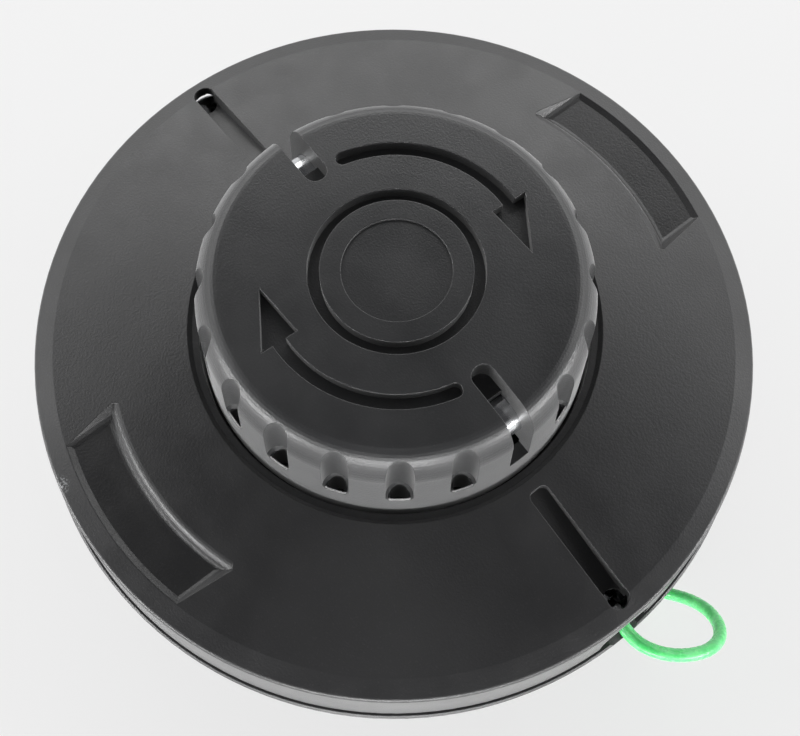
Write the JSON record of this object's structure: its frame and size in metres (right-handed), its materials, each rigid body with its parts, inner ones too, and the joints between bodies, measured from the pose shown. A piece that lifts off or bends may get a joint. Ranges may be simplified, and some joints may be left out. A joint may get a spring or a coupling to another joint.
{
  "type": "trimmer head",
  "caption": "Round tap-feed line trimmer head with a wide conical cover, a fluted bump knob, two steel line eyelets, a sprung spool and a threaded arbor insert.",
  "frame": {"origin": "on the head's axis, in the face that meets the gearbox, which is also the plane the head rests on", "axes": "+Z along the axis, from the gearbox side to the bump knob; the two line eyelets lie on the X axis and the two finger pockets on the Y axis"},
  "size_m": [0.1459, 0.1338, 0.0661],
  "materials": {
    "housing_plastic": "satin black moulded nylon",
    "cover_plastic": "fine-grained satin black moulded nylon",
    "knob_plastic": "fine-grained satin black moulded nylon",
    "spool_plastic": "dark grey moulded nylon",
    "acetal": "natural white acetal",
    "insert_steel": "zinc-plated turned steel",
    "spring_steel": "drawn spring wire",
    "polished_steel": "polished hardened steel",
    "line_nylon": "translucent green extruded nylon"
  },
  "bodies": {
    "head": {"housing": "housing_plastic", "arbor_insert": "insert_steel", "spring_seat": "insert_steel", "ratchet_ring": "acetal", "cover": "cover_plastic", "eyelet_front": "polished_steel", "eyelet_rear": "polished_steel", "line_lead_front": "line_nylon", "line_lead_rear": "line_nylon", "line_tail": "line_nylon", "feed_spring": "spring_steel"},
    "plunger": {"spring_cap": "acetal"},
    "spool_and_knob": {"spool": "spool_plastic", "pawl_ring": "acetal", "winding_lower": "line_nylon", "winding_upper": "line_nylon", "knob": "knob_plastic", "guide_pin_front": "polished_steel", "guide_pin_rear": "polished_steel"}
  },
  "joints": [
    {"name": "tap_travel", "type": "slide", "parent": "head", "child": "plunger", "axis": [0, 0, 1], "range_m": [-0.005, 0], "stiffness_N_per_m": 3200, "springref_m": 0.003, "deforming": ["feed_spring"]},
    {"name": "winding_turn", "type": "hinge", "parent": "plunger", "child": "spool_and_knob", "pos_m": [0, 0, 0.04], "axis": [0, 0, 1], "continuous": true}
  ]
}
